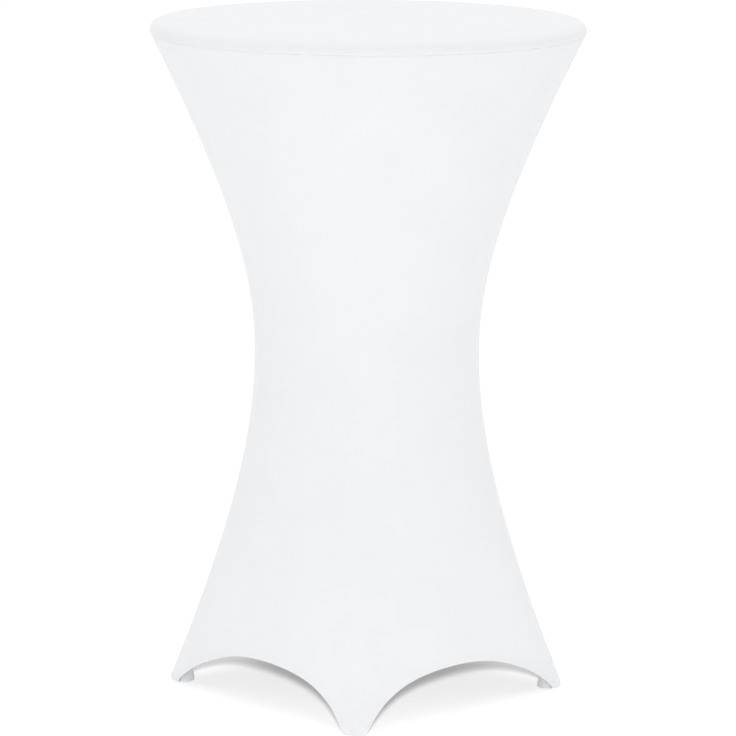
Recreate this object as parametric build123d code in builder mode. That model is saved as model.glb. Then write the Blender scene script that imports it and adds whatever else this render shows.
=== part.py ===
"""A round standing table, 1.1 m high, dressed in a stretch cover.

The table has a bullnosed round top on a steel column, and a cross foot of four bolted
arms with levelling glides. The cover is a knitted elastane sleeve: a round top panel and
two skirt panels, pulled into an hourglass between the rim and four foot pockets that
hook under the glides. Between the feet its hem rises in four arches.

Frame: millimetres, +Z up, origin on the floor under the column, one foot on each of
+X, -X, +Y and -Y. The front of the table looks along -Y.
"""

import os
from math import atan, cos, degrees, exp, hypot, pi, radians, sin, sqrt

from build123d import *

os.makedirs("parts", exist_ok=True)

# ---- driving dimensions -------------------------------------------------------------

# table
table_height = 1100.0  # underside of the glides to the upper face of the top
top_diameter = 700.0
top_thickness = 26.0
laminate = 0.8
column_diameter = 60.0
column_wall = 2.5
glide_circle_radius = 298.0  # column axis to each glide's axis

# cover
cloth = 1.2  # one layer of knitted cloth
waist_radius = 183.4
waist_height = 566.0  # of the narrowest ring, above the floor
toe_clearance = 13.6  # from the glide's pad to the tip of its foot pocket
toe_rounding = 14.5  # radius to which a pocket's lower edge is rolled under
toe_height = 13.0  # where the rolled edge starts
valley_flare = 0.255  # spread of the skirt half way between two feet
corner_sharpness = 0.523  # 0 is round, 1 is a sharp ridge, at the floor
corner_fade = 251.0  # height over which the ridges soften to a third
arch_setback = 18.1  # from a toe's tip to the end of its arch, along the arch's span
arch_height = 78.0
arch_spring = -4.0  # where the arch's sides become upright, just below the floor
arch_fullness = 1.44  # 1 is an ellipse, 2 is a parabola
pocket_height = 45.0
side_seam_width = 14.0
rim_tape_width = 8.0
rim_tape_drop = 7.0  # from the rim's seam to the tape, where the bullnose leaves room
hem_width = 12.0
hem_overrun = 5.0  # of the hem's surface above its arch, before it is cut to shape
skirt_low_rings = 165.0  # the skirt is drawn with closer rings below this height
skirt_body_rings = 240.0  # height of the first of its wider spaced rings
cup_floor = 1.8
cup_wall = 1.2
cup_height = 12.0
cup_reach = 3.2  # angle each side of the foot over which a cup follows the toe's curve
stretch_gap = 0.15  # between the cloth and what it is stretched over
sewn_gap = 0.3  # between two pieces of cloth that are sewn together
pocket_gap = 0.3  # between a pocket and the skirt, which part when the glide is let down

# glide
pad_radius = 11.0
pad_height = 9.0
pad_chamfer = 2.0
pad_clearance = 0.4  # from the pad to the pocket's cup
stud_diameter = 8.0
stud_chamfer = 0.8
stud_disc_radius = 6.0
stud_disc_height = 2.5
stud_disc_lift = 3.0  # underside of the pad to the stud's disc
hex_width = 13.0
hex_height = 3.5
insert_radius = 5.5
insert_depth = 11.0
turning_clearance = 0.3  # around the stud's disc, in the pad
thread_clearance = 0.05  # radial, of the stud in its insert

# cross foot
arm_root_height = 44.0
arm_root_width = 42.0
arm_tip_height = 13.0
arm_tip_width = 17.0
arm_tip_floor_gap = 30.0
arm_tip_clearance = 0.8  # to the foot pocket in front of it
arm_tip_flat = 24.0  # length of the level part before the glide's axis
arm_edge_fillet = 2.5
hub_width = 90.0
hub_height = 60.0
hub_floor_gap = 120.0
hub_corner = 8.0
hub_floor = 12.0
hub_chamfer = 2.0
flange_width = 72.0
flange_height = 56.0
flange_thickness = 8.0
arm_screw_spread = 56.0
arm_screw_rise = 40.0
arm_screw_diameter = 6.0
arm_screw_depth = 10.0  # in the hub
screw_head_radius = 5.0
screw_head_height = 5.0
screw_socket_radius = 2.9
screw_clearance = 0.2

# top plate and tie rod
plate_radius = 130.0
plate_thickness = 6.0
socket_wall = 5.0
socket_depth = 45.0
slip_gap = 0.1  # radial, of the column in its sockets
plate_screw_circle = 112.0
plate_screw_count = 8
plate_screw_diameter = 4.5
plate_screw_depth = 17.0  # in the board
plate_screw_head = 3.0
rod_diameter = 10.0
rod_clearance = 0.3
rod_chamfer = 1.0
nut_width = 17.0
nut_height = 8.0
washer_radius = 11.0
washer_thickness = 2.0
rod_end = 3.0  # of the rod, past its nuts
nut_recess_radius = 14.0
nut_recess_depth = 14.0
band_tongue_depth = 9.0
band_tongue_thickness = 2.4

# ---- derived sizes ------------------------------------------------------------------

feet = {"front": -90.0, "right": 0.0, "back": 90.0, "left": 180.0}
sides = {"front_right": -45.0, "back_right": 45.0, "back_left": 135.0, "front_left": -135.0}

top_face = cup_floor + table_height
top_underside = top_face - top_thickness
nose_radius = top_thickness / 2
board_radius = top_diameter / 2 - nose_radius
nose_height = top_face - nose_radius
plate_underside = top_underside - plate_thickness
hub_side = hub_width / 2
flange_face = hub_side + flange_thickness
flange_middle = hub_floor_gap + hub_height / 2
column_foot = hub_floor_gap + hub_floor
arm_tip_top = arm_tip_floor_gap + arm_tip_height
pocket_cloth = 2 * cloth
toe_radius = glide_circle_radius + pad_radius + toe_clearance
arch_half_width = toe_radius * sin(radians(45)) - arch_setback
ridge_flare = sqrt(toe_radius**2 - waist_radius**2) / (waist_height - toe_height)

# The cloth leaves the bullnose where the skirt's hyperbola is tangent to it.
nose_skin = nose_radius + stretch_gap + cloth
leave_angle = radians(26)
for _ in range(20):
    rim_radius = board_radius + nose_skin * cos(leave_angle)
    rim_height = nose_height - nose_skin * sin(leave_angle)
    rise = rim_height - waist_height
    upper_flare = sqrt(rim_radius**2 - waist_radius**2) / rise
    leave_angle = atan(upper_flare**2 * rise / rim_radius)


# ---- the cover's surface ------------------------------------------------------------


def flared(height, flare):
    """Radius of a hyperbola whose narrowest point is the waist."""
    return hypot(waist_radius, flare * (height - waist_height))


def ridge_share(angle, height):
    """1 on a ridge above a foot, 0 half way between two feet."""
    p = corner_sharpness * exp(-height / corner_fade)

    def peak(c):
        return (1 - p * p) / (1 - 2 * p * c + p * p)

    return (peak(cos(4 * radians(angle))) - peak(-1)) / (peak(1) - peak(-1))


def cover_radius(angle, height):
    """Radius of the cloth's outer face at an angle in degrees and a height."""
    if height >= waist_height:
        return flared(height, upper_flare)
    ridge, valley = flared(height, ridge_flare), flared(height, valley_flare)
    radius = valley + (ridge - valley) * ridge_share(angle, height)
    if height < toe_height:
        radius -= toe_rounding - sqrt(toe_rounding**2 - (toe_height - height) ** 2)
    return radius


def layer_radius(angle, height, depth):
    """Radius of the face that lies a depth inside the cloth's outer face."""
    step = 0.5
    level = max(height, toe_height + step)
    here = cover_radius(angle, level)
    climb = (cover_radius(angle, level + step) - cover_radius(angle, level - step)) / (2 * step)
    turn = cover_radius(angle + step, level) - cover_radius(angle - step, level)
    turn /= here * radians(2 * step)
    return cover_radius(angle, height) - depth * sqrt(1 + climb**2 + turn**2)


def spaced(low, high, count):
    """Evenly spaced values from low to high."""
    return [low + (high - low) * i / (count - 1) for i in range(count)]


def layer_arc(angles, height, depth):
    """Points of a layer at one height, one for each angle."""
    radii = [layer_radius(angle, height, depth) for angle in angles]
    return [(r * cos(radians(a)), r * sin(radians(a))) for r, a in zip(radii, angles)]


def cloth_section(height, angles, near, far):
    """Level section of the cloth that lies between two depths."""
    outer = layer_arc(angles, height, near)
    inner = layer_arc(angles, height, far)
    with BuildSketch(Plane.XY.offset(height)) as section:
        with BuildLine():
            Spline(*outer)
            Line(outer[-1], inner[-1])
            Spline(*inner[::-1])
            Line(inner[0], outer[0])
        make_face()
    return section.sketch


def arch_cutter(angle, widening):
    """Solid under a hem arch, seen along an angle, its edge moved outwards by a widening."""
    across = (-sin(radians(angle)), cos(radians(angle)), 0)
    outwards = (cos(radians(angle)), sin(radians(angle)), 0)
    clear_of_base = 120.0
    steps = 16
    turns = [pi / 2 * (i / steps - 1) for i in range(2 * steps + 1)]
    span, crown = arch_half_width + widening, arch_height - arch_spring + widening
    edge = [(span * sin(t), arch_spring + crown * max(cos(t), 0) ** arch_fullness) for t in turns]
    with BuildPart() as cutter:
        with BuildSketch(Plane((0, 0, 0), x_dir=across, z_dir=outwards).offset(clear_of_base)):
            with BuildLine():
                Spline(*edge)
                Polyline(edge[-1], (span, -crown), (-span, -crown), edge[0])
            make_face()
        extrude(amount=top_diameter / 2)
    return cutter.part


def write(name, label):
    """Labels a finished piece and writes its STEP file."""
    name.part.label = label
    export_step(name.part, f"parts/{label}.step")


# ---- cover: top panel ---------------------------------------------------------------

with BuildPart() as cover_top:
    with BuildSketch(Plane.XZ):
        with BuildLine():
            inner_reach = nose_radius + stretch_gap
            edge_drop = nose_height - rim_height
            outer_end = (rim_radius, rim_height)
            inner_end = (board_radius + sqrt(inner_reach**2 - edge_drop**2), rim_height)
            Polyline((board_radius, nose_height + inner_reach), (0, nose_height + inner_reach),
                     (0, nose_height + nose_skin), (board_radius, nose_height + nose_skin))
            ThreePointArc((board_radius, nose_height + nose_skin),
                          (board_radius + nose_skin, nose_height), outer_end)
            Line(outer_end, inner_end)
            ThreePointArc(inner_end, (board_radius + inner_reach, nose_height),
                          (board_radius, nose_height + inner_reach))
        make_face()
    revolve(axis=Axis.Z)
write(cover_top, "cover_top")

# ---- cover: front and back skirt panels, butted over the side seams -----------------

skirt_top = rim_height - sewn_gap
skirt_levels = (spaced(pocket_height, skirt_low_rings, 4)
                + spaced(skirt_body_rings, waist_height, 4)
                + spaced(waist_height, skirt_top, 5)[1:])
seam_turn = degrees(sewn_gap / 2 / waist_radius)  # leaves the seam's gap between the panels
crowding = 7.0  # degrees by which a panel's section points are drawn towards the ridges
panel_angles = [angle - crowding * sin(4 * radians(angle))
                for angle in spaced(-180 + seam_turn, -seam_turn, 49)]

with BuildPart() as skirt_front:
    loft([cloth_section(height, panel_angles, 0, cloth) for height in skirt_levels])
    for side in ("front_left", "front_right"):
        add(arch_cutter(sides[side], 0), mode=Mode.SUBTRACT)
write(skirt_front, "skirt_front")

with BuildPart() as skirt_back:
    mirror(skirt_front.part, about=Plane.XZ)
write(skirt_back, "skirt_back")

# ---- cover: seam allowances and hems, on the inside ---------------------------------

under = cloth + sewn_gap  # depth at which a second layer starts

for side in ("left", "right"):
    with BuildPart() as side_seam:
        sections = []
        for height in skirt_levels:
            half = degrees(side_seam_width / 2 / cover_radius(0, height))
            angles = spaced(feet[side] - half, feet[side] + half, 5)
            sections.append(cloth_section(height, angles, under, under + cloth))
        loft(sections)
        seam_top = skirt_top - rim_tape_drop - rim_tape_width - sewn_gap
        split(bisect_by=Plane.XY.offset(seam_top), keep=Keep.BOTTOM)
    write(side_seam, f"side_seam_{side}")

with BuildPart() as rim_tape:
    with BuildSketch(Plane.XZ):
        tape_top = skirt_top - rim_tape_drop
        tape_foot = tape_top - rim_tape_width
        with BuildLine():
            Polyline((layer_radius(0, tape_top, under), tape_top),
                     (layer_radius(0, tape_foot, under), tape_foot),
                     (layer_radius(0, tape_foot, under + cloth), tape_foot),
                     (layer_radius(0, tape_top, under + cloth), tape_top), close=True)
        make_face()
    revolve(axis=Axis.Z)
write(rim_tape, "rim_tape")

hem_reach = 38.0  # angle from the middle of an arch, past the pockets' upper edges
for side, angle in sides.items():
    with BuildPart() as hem_band:
        angles = spaced(angle - hem_reach, angle + hem_reach, 21)
        loft([cloth_section(height, angles, under, under + cloth)
              for height in spaced(pocket_height, arch_height + hem_width + hem_overrun, 4)])
        add(arch_cutter(angle, hem_width), mode=Mode.INTERSECT)
        add(arch_cutter(angle, 0), mode=Mode.SUBTRACT)
    write(hem_band, f"hem_band_{side}")

# ---- cover: foot pockets and their cups ---------------------------------------------

pocket_reach = 9.5  # angle each side of the foot, past the arches' edges
pocket_levels = spaced(0, toe_height, 4) + spaced(22, pocket_height - pocket_gap, 3)
for foot, angle in feet.items():
    with BuildPart() as foot_pocket:
        angles = spaced(angle - pocket_reach, angle + pocket_reach, 21)
        loft([cloth_section(height, angles, 0, pocket_cloth) for height in pocket_levels])
        add(arch_cutter(angle - 45, 0), mode=Mode.SUBTRACT)
        add(arch_cutter(angle + 45, 0), mode=Mode.SUBTRACT)
    write(foot_pocket, f"foot_pocket_{foot}")


def cup_outline(shrink):
    """Outline of a pocket's cup on +X: the toe's curve, closed by a round behind the pad."""
    toe = layer_arc(spaced(-cup_reach, cup_reach, 9), 0, pocket_cloth + sewn_gap + shrink)
    back = pad_radius + pad_clearance + cup_wall - shrink
    with BuildSketch(Plane.XY) as outline:
        with BuildLine():
            Spline(*toe)
            Line(toe[-1], (glide_circle_radius, back))
            ThreePointArc((glide_circle_radius, back), (glide_circle_radius - back, 0),
                          (glide_circle_radius, -back))
            Line((glide_circle_radius, -back), toe[0])
        make_face()
    return outline.sketch


with BuildPart() as cup:
    add(cup_outline(0))
    extrude(amount=cup_height)
    add(cup_outline(cup_wall).moved(Location((0, 0, cup_floor))))
    extrude(amount=cup_height, mode=Mode.SUBTRACT)

for foot, angle in feet.items():
    with BuildPart() as pocket_cup:
        add(cup.part, rotation=(0, 0, angle))
    write(pocket_cup, f"pocket_cup_{foot}")

# ---- glides: pad, levelling stud and threaded insert, on +X and then on each foot ----

glide_axis = (glide_circle_radius, 0)
pad_top = cup_floor + pad_height
disc_foot = cup_floor + stud_disc_lift
disc_top = disc_foot + stud_disc_height
stud_radius = stud_diameter / 2
stud_top = arm_tip_floor_gap + arm_tip_height - 1
hex_foot = arm_tip_floor_gap - hex_height - turning_clearance

with BuildPart() as pad:
    with BuildSketch(Plane.XY.offset(cup_floor)):
        with Locations(glide_axis):
            Circle(pad_radius)
    extrude(amount=pad_height)
    chamfer(pad.edges().group_by(Axis.Z)[-1], pad_chamfer)
    with BuildSketch(Plane.XY.offset(disc_foot - turning_clearance)):
        with Locations(glide_axis):
            Circle(stud_disc_radius + turning_clearance)
    extrude(amount=stud_disc_height + 2 * turning_clearance, mode=Mode.SUBTRACT)
    with BuildSketch(Plane.XY.offset(disc_top)):
        with Locations(glide_axis):
            Circle(stud_radius + turning_clearance)
    extrude(amount=pad_height, mode=Mode.SUBTRACT)

with BuildPart() as stud:
    with BuildSketch(Plane.XY.offset(disc_foot)):
        with Locations(glide_axis):
            Circle(stud_disc_radius)
    extrude(amount=stud_disc_height)
    with BuildSketch(Plane.XY.offset(disc_foot)):
        with Locations(glide_axis):
            Circle(stud_radius)
    extrude(amount=stud_top - disc_foot)
    chamfer(stud.edges().group_by(Axis.Z)[-1], stud_chamfer)
    with BuildSketch(Plane.XY.offset(hex_foot)):
        with Locations(glide_axis):
            RegularPolygon(hex_width / 2, 6, major_radius=False)
    extrude(amount=hex_height)

with BuildPart() as insert:
    with BuildSketch(Plane.XY.offset(arm_tip_floor_gap)):
        with Locations(glide_axis):
            Circle(insert_radius)
            Circle(stud_radius + thread_clearance, mode=Mode.SUBTRACT)
    extrude(amount=insert_depth)

# ---- cross foot: one arm on +X ------------------------------------------------------

screw_spots = [(y, z) for y in (-arm_screw_spread / 2, arm_screw_spread / 2)
               for z in (flange_middle - arm_screw_rise / 2, flange_middle + arm_screw_rise / 2)]
root_foot = flange_middle - arm_root_height / 2
root_top = flange_middle + arm_root_height / 2
level_start = glide_circle_radius - arm_tip_flat
tip_half = arm_tip_width / 2
arm_end = min(glide_circle_radius + tip_half,
              layer_radius(0, pocket_height, pocket_cloth) - arm_tip_clearance)

with BuildPart() as arm:
    with BuildSketch(Plane.XZ):
        with BuildLine():
            Polyline((flange_face, root_foot), (level_start, arm_tip_floor_gap),
                     (arm_end, arm_tip_floor_gap), (arm_end, arm_tip_top),
                     (level_start, arm_tip_top), (flange_face, root_top), close=True)
        make_face()
    extrude(amount=arm_root_width, both=True)
    with BuildSketch(Plane.XY):
        with BuildLine():
            Line((flange_face, -arm_root_width / 2), (flange_face, arm_root_width / 2))
            Line((flange_face, arm_root_width / 2), (glide_circle_radius, tip_half))
            ThreePointArc((glide_circle_radius, tip_half), (arm_end, 0),
                          (glide_circle_radius, -tip_half))
            Line((glide_circle_radius, -tip_half), (flange_face, -arm_root_width / 2))
        make_face()
    extrude(amount=root_top + arm_root_height, mode=Mode.INTERSECT)
    outer_edges = arm.edges().filter_by(lambda edge: edge.center().X > flange_face + 1)
    long_edges = outer_edges.filter_by(lambda edge: abs(edge.tangent_at(0.5).Z) < 0.5)
    fillet(long_edges.filter_by(lambda edge: abs(edge.center().Y) > 1 or edge.center().X > arm_end - 9),
           arm_edge_fillet)
    with BuildSketch(Plane.YZ.offset(hub_side)):
        with Locations((0, flange_middle)):
            RectangleRounded(flange_width, flange_height, hub_corner)
    extrude(amount=flange_thickness)
    with BuildSketch(Plane.YZ.offset(hub_side)):
        with Locations(*screw_spots):
            Circle(arm_screw_diameter / 2 + screw_clearance)
    extrude(amount=flange_thickness, mode=Mode.SUBTRACT)
    with BuildSketch(Plane.XY.offset(arm_tip_floor_gap)):
        with Locations(glide_axis):
            Circle(insert_radius + thread_clearance)
    extrude(amount=insert_depth + thread_clearance, mode=Mode.SUBTRACT)
    with BuildSketch(Plane.XY.offset(arm_tip_floor_gap)):
        with Locations(glide_axis):
            Circle(stud_radius + turning_clearance)
    extrude(amount=arm_tip_height, mode=Mode.SUBTRACT)

for name, piece in {"base_arm": arm, "arm_insert": insert, "glide_stud": stud,
                    "glide_pad": pad}.items():
    for foot, angle in feet.items():
        with BuildPart() as placed:
            add(piece.part, rotation=(0, 0, angle))
        write(placed, f"{name}_{foot}")

# ---- cross foot: hub and the arms' screws -------------------------------------------

column_radius = column_diameter / 2
rod_radius = rod_diameter / 2

with BuildPart() as base_hub:
    with BuildSketch(Plane.XY.offset(hub_floor_gap)):
        RectangleRounded(hub_width, hub_width, hub_corner)
    extrude(amount=hub_height)
    chamfer(base_hub.edges().group_by(Axis.Z)[-1], hub_chamfer)
    with BuildSketch(Plane.XY.offset(column_foot)):
        Circle(column_radius + slip_gap)
    extrude(amount=hub_height, mode=Mode.SUBTRACT)
    with BuildSketch(Plane.XY.offset(hub_floor_gap)):
        Circle(rod_radius + rod_clearance)
    extrude(amount=hub_floor, mode=Mode.SUBTRACT)
    for plane in (Plane.YZ, Plane.XZ):
        with BuildSketch(plane.offset(hub_side - arm_screw_depth), plane.offset(-hub_side)):
            with Locations(*screw_spots):
                Circle(arm_screw_diameter / 2 + thread_clearance)
        extrude(amount=arm_screw_depth, mode=Mode.SUBTRACT)
write(base_hub, "base_hub")

with BuildPart() as arm_screw:
    with BuildSketch(Plane.YZ.offset(hub_side - arm_screw_depth + thread_clearance)):
        with Locations(*screw_spots):
            Circle(arm_screw_diameter / 2)
    extrude(amount=arm_screw_depth + flange_thickness - thread_clearance)
    with BuildSketch(Plane.YZ.offset(flange_face)):
        with Locations(*screw_spots):
            Circle(screw_head_radius)
            RegularPolygon(screw_socket_radius, 6, major_radius=False, mode=Mode.SUBTRACT)
    extrude(amount=screw_head_height)

with BuildPart() as arm_screws:
    for angle in feet.values():
        add(arm_screw.part, rotation=(0, 0, angle))
write(arm_screws, "arm_screws")

# ---- column and tie rod -------------------------------------------------------------

with BuildPart() as column_tube:
    with BuildSketch(Plane.XY.offset(column_foot)):
        Circle(column_radius)
        Circle(column_radius - column_wall, mode=Mode.SUBTRACT)
    extrude(amount=plate_underside - column_foot)
write(column_tube, "column_tube")

washer_heights = [hub_floor_gap - washer_thickness, top_underside]
nut_heights = [hub_floor_gap - washer_thickness - nut_height, top_underside + washer_thickness]
rod_foot = nut_heights[0] - rod_end
rod_head = nut_heights[1] + nut_height + rod_end

with BuildPart() as tie_rod:
    with BuildSketch(Plane.XY.offset(rod_foot)):
        Circle(rod_radius)
    extrude(amount=rod_head - rod_foot)
    chamfer(tie_rod.edges().filter_by(GeomType.CIRCLE), rod_chamfer)
write(tie_rod, "tie_rod")

with BuildPart() as rod_washers:
    for height in washer_heights:
        with BuildSketch(Plane.XY.offset(height)):
            Circle(washer_radius)
            Circle(rod_radius + rod_clearance, mode=Mode.SUBTRACT)
        extrude(amount=washer_thickness)
write(rod_washers, "rod_washers")

with BuildPart() as rod_nuts:
    for height in nut_heights:
        with BuildSketch(Plane.XY.offset(height)):
            RegularPolygon(nut_width / 2, 6, major_radius=False)
            Circle(rod_radius + thread_clearance, mode=Mode.SUBTRACT)
        extrude(amount=nut_height)
write(rod_nuts, "rod_nuts")

# ---- top plate and its screws -------------------------------------------------------

with BuildPart() as top_plate:
    with BuildSketch(Plane.XY.offset(plate_underside)):
        Circle(plate_radius)
        Circle(rod_radius + rod_clearance, mode=Mode.SUBTRACT)
        with PolarLocations(plate_screw_circle, plate_screw_count):
            Circle(plate_screw_diameter / 2 + screw_clearance, mode=Mode.SUBTRACT)
    extrude(amount=plate_thickness)
    with BuildSketch(Plane.XY.offset(plate_underside - socket_depth)):
        Circle(column_radius + slip_gap + socket_wall)
        Circle(column_radius + slip_gap, mode=Mode.SUBTRACT)
    extrude(amount=socket_depth)
write(top_plate, "top_plate")

with BuildPart() as plate_screws:
    with BuildSketch(Plane.XY.offset(plate_underside)):
        with PolarLocations(plate_screw_circle, plate_screw_count):
            Circle(plate_screw_diameter / 2)
    extrude(amount=plate_thickness + plate_screw_depth)
    with BuildSketch(Plane.XY.offset(plate_underside - plate_screw_head)):
        with PolarLocations(plate_screw_circle, plate_screw_count):
            Circle(plate_screw_diameter)
    extrude(amount=plate_screw_head)
write(plate_screws, "plate_screws")

# ---- table top: board, laminate and bullnosed edge band -----------------------------

board_top = top_face - laminate
groove_thickness = band_tongue_thickness + 2 * thread_clearance
groove_depth = band_tongue_depth + turning_clearance

with BuildPart() as table_board:
    with BuildSketch(Plane.XY.offset(top_underside)):
        Circle(board_radius)
    extrude(amount=board_top - top_underside)
    with BuildSketch(Plane.XY.offset(nose_height - groove_thickness / 2)):
        Circle(board_radius)
        Circle(board_radius - groove_depth, mode=Mode.SUBTRACT)
    extrude(amount=groove_thickness, mode=Mode.SUBTRACT)
    with BuildSketch(Plane.XY.offset(top_underside)):
        Circle(nut_recess_radius)
    extrude(amount=nut_recess_depth, mode=Mode.SUBTRACT)
    with BuildSketch(Plane.XY.offset(top_underside)):
        with PolarLocations(plate_screw_circle, plate_screw_count):
            Circle(plate_screw_diameter / 2 + thread_clearance)
    extrude(amount=plate_screw_depth + thread_clearance, mode=Mode.SUBTRACT)
write(table_board, "table_board")

with BuildPart() as top_laminate:
    with BuildSketch(Plane.XY.offset(board_top)):
        Circle(board_radius)
    extrude(amount=laminate)
write(top_laminate, "top_laminate")

with BuildPart() as edge_band:
    with BuildSketch(Plane.XZ):
        with BuildLine():
            ThreePointArc((board_radius, top_face), (board_radius + nose_radius, nose_height),
                          (board_radius, top_underside))
            tongue_end = board_radius - band_tongue_depth
            tongue_half = band_tongue_thickness / 2
            Polyline((board_radius, top_underside), (board_radius, nose_height - tongue_half),
                     (tongue_end, nose_height - tongue_half), (tongue_end, nose_height + tongue_half),
                     (board_radius, nose_height + tongue_half), (board_radius, top_face))
        make_face()
    revolve(axis=Axis.Z)
write(edge_band, "edge_band")

print("overall height", round(nose_height + nose_skin, 2), "rim radius", board_radius + nose_skin)
print("rim seam at radius", round(rim_radius, 1), "height", round(rim_height, 1))
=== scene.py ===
# A white stretch cover on a round standing table. The cover is made here as sewn cloth; the table
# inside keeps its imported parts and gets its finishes.
import math

import bpy
from mathutils import Matrix, Vector


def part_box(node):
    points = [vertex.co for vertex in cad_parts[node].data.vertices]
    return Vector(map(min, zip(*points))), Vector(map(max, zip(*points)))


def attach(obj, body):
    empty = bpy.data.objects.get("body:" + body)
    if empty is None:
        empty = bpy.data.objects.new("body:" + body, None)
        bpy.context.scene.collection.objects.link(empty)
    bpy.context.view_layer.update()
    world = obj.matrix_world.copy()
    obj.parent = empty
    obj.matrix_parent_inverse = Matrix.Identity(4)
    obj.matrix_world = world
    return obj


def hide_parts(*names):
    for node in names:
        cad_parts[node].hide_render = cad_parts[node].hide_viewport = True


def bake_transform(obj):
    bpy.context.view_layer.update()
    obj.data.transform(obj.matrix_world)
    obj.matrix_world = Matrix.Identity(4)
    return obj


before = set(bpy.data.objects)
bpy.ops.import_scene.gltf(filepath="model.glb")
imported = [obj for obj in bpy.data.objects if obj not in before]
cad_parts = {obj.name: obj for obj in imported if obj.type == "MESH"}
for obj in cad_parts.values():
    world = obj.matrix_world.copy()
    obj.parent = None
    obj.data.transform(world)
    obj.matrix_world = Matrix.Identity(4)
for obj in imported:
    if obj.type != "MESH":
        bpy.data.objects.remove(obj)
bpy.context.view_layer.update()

mm = 0.001
degree = math.radians(1)


def linear(hexColour):
    channels = [int(hexColour[i:i + 2], 16) / 255 for i in (1, 3, 5)]
    return [c / 12.92 if c <= 0.04045 else ((c + 0.055) / 1.055) ** 2.4 for c in channels] + [1.0]


def addNode(tree, kind, settings=None, inputs=None):
    # one node, with its settings, its values and the links into it
    made = tree.nodes.new(kind)
    for name, value in (settings or {}).items():
        setattr(made, name, value)
    for name, value in (inputs or {}).items():
        if isinstance(value, bpy.types.NodeSocket):
            tree.links.new(value, made.inputs[name])
        else:
            made.inputs[name].default_value = value
    return made


def newMaterial(name):
    material = bpy.data.materials.new(name)
    material.use_nodes = True
    material.node_tree.nodes.clear()
    return material, material.node_tree


def finishMaterial(tree, shader):
    addNode(tree, "ShaderNodeOutputMaterial", inputs={"Surface": shader.outputs[0]})


def noise(tree, spot, size, detail, **more):
    return addNode(tree, "ShaderNodeTexNoise", inputs={
        "Vector": spot, "Scale": 1 / size, "Detail": detail, **more}).outputs["Fac"]


def bumped(tree, height, strength, depth):
    return addNode(tree, "ShaderNodeBump", inputs={
        "Strength": strength, "Distance": depth, "Height": height}).outputs[0]


def tinted(tree, share, first, second):
    return addNode(tree, "ShaderNodeMix", {"data_type": "RGBA"}, {
        "Factor": share, "A": linear(first), "B": linear(second)}).outputs["Result"]


def objectPlace(tree):
    return addNode(tree, "ShaderNodeTexCoord").outputs["Object"]


def smoothStep(low, high, value):
    x = min(max((value - low) / (high - low), 0.0), 1.0)
    return x * x * (3 - 2 * x)


def mix(a, b, share):
    return a + (b - a) * share


def spaced(low, high, count):
    return [mix(low, high, i / (count - 1)) for i in range(count)]


def addObject(name, mesh, material=None):
    piece = bpy.data.objects.new(name, mesh)
    bpy.context.scene.collection.objects.link(piece)
    if material:
        mesh.materials.append(material)
    return piece


cameraSettings = {
    "distance": 6.2124,  # from the column's axis, along the floor
    "height": 1.7334,
    "aside": 0.00203,
    "yaw": 3.0,  # degrees; the camera stands a little to the right of the front foot
    "pitch": 10.937,
    "roll": 0.245,
    "lens": 189.16,
}


def addCamera():
    yaw, pitch, roll = (cameraSettings[key] * degree for key in ("yaw", "pitch", "roll"))
    right = Vector((math.cos(yaw), math.sin(yaw), 0))
    level = Vector((-math.sin(yaw), math.cos(yaw), 0))
    forward = level * math.cos(pitch) - Vector((0, 0, math.sin(pitch)))
    up = level * math.sin(pitch) + Vector((0, 0, math.cos(pitch)))
    tiltedRight = right * math.cos(roll) + up * math.sin(roll)
    tiltedUp = up * math.cos(roll) - right * math.sin(roll)
    place = right * cameraSettings["aside"] - level * cameraSettings["distance"]
    place.z = cameraSettings["height"]
    data = bpy.data.cameras.new("camera")
    data.lens = cameraSettings["lens"]
    data.sensor_width = 36
    data.clip_end = 100
    camera = bpy.data.objects.new("camera", data)
    turn = Matrix((tiltedRight, tiltedUp, -forward)).transposed()
    camera.matrix_world = Matrix.Translation(place) @ turn.to_4x4()
    bpy.context.scene.collection.objects.link(camera)
    bpy.context.scene.camera = camera


addCamera()
print("stage: camera")

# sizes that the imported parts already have
topLow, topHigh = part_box("cover_top")
bandLow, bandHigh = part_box("edge_band")
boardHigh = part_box("table_board")[1]
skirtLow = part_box("skirt_front")[0]
padLow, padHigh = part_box("glide_pad_right")
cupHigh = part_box("pocket_cup_right")[1]
tapeLow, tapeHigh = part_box("rim_tape")
seamLow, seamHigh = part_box("side_seam_right")

cover = {
    "thickness": 1.2 * mm,
    "waistRadius": 183.4 * mm,
    "waistHeight": 566 * mm,
    "toeRadius": 322.6 * mm,
    "toeHeight": 13 * mm,  # where a toe's lower edge starts to roll under
    "toeRounding": 14.5 * mm,
    "valleyFlare": 0.255,  # spread of the skirt half way between two feet
    "cornerSharpness": 0.523,  # 0 is round, 1 is a sharp ridge, at the floor
    "cornerFade": 251 * mm,
    "archHalfWidth": 210 * mm,
    "archHeight": 78 * mm,
    "archSpring": -4 * mm,
    "archFullness": 1.44,  # 1 is an ellipse, 2 is a parabola
    "hemWidth": 12 * mm,
    "hemFold": 1.5 * mm,  # what the turned-in layer adds to the thickness
    "hemProud": 0.3 * mm,  # its inner edge shows through as a low step
    "seamGroove": 0.5 * mm,
    "seamReach": 2.2 * mm,  # how far the cloth curves down into a seam
    "seamGap": 0.1 * mm,
    "underLayer": 1.5 * mm,  # depth at which tapes lie on the inside
    "pocketTop": skirtLow.z,
    "top": topHigh.z,
    "rimSeam": topLow.z,
    "boardRadius": boardHigh.x,
    "noseHeight": (bandLow.z + bandHigh.z) / 2,
    "noseSkin": topHigh.x - boardHigh.x,
}
feet = {"front": -90.0, "right": 0.0, "back": 90.0, "left": 180.0}
arches = {"front_right": -45.0, "back_right": 45.0, "back_left": 135.0, "front_left": -135.0}

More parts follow.
